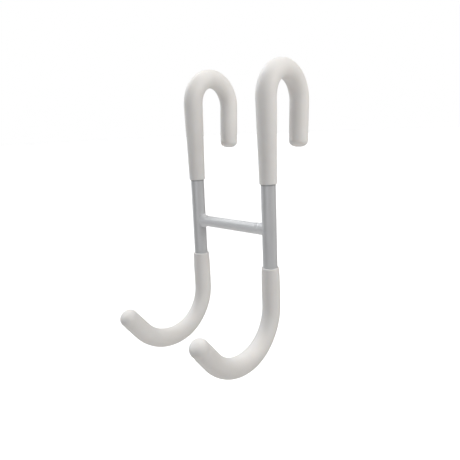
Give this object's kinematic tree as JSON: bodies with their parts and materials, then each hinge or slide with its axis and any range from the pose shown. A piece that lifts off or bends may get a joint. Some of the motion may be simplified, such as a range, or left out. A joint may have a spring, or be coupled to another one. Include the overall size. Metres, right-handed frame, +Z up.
{
  "type": "over-the-door double hook",
  "caption": "H-shaped over-the-door hook: two bent round rods joined by a welded crossbar, with soft sleeves over the door bends and the upturned towel hooks.",
  "frame": {"origin": "midway between the two rods, on the underside of the top bends, where the object sits on the top edge of a door", "axes": "+X along the crossbar from the left rod to the right rod, +Y back over the door, +Z up; the towel hooks turn up towards -Y"},
  "size_m": [0.0568, 0.088, 0.1438],
  "materials": {
    "painted_steel": "light cool grey powder coat, satin",
    "silicone": "white moulded silicone, soft matte"
  },
  "bodies": {
    "root": {"rod_left": "painted_steel", "rod_right": "painted_steel", "crossbar": "painted_steel", "weld_bead_left": "painted_steel", "weld_bead_right": "painted_steel", "upper_sleeve_left": "silicone", "upper_sleeve_right": "silicone", "lower_sleeve_left": "silicone", "lower_sleeve_right": "silicone"}
  },
  "joints": []
}
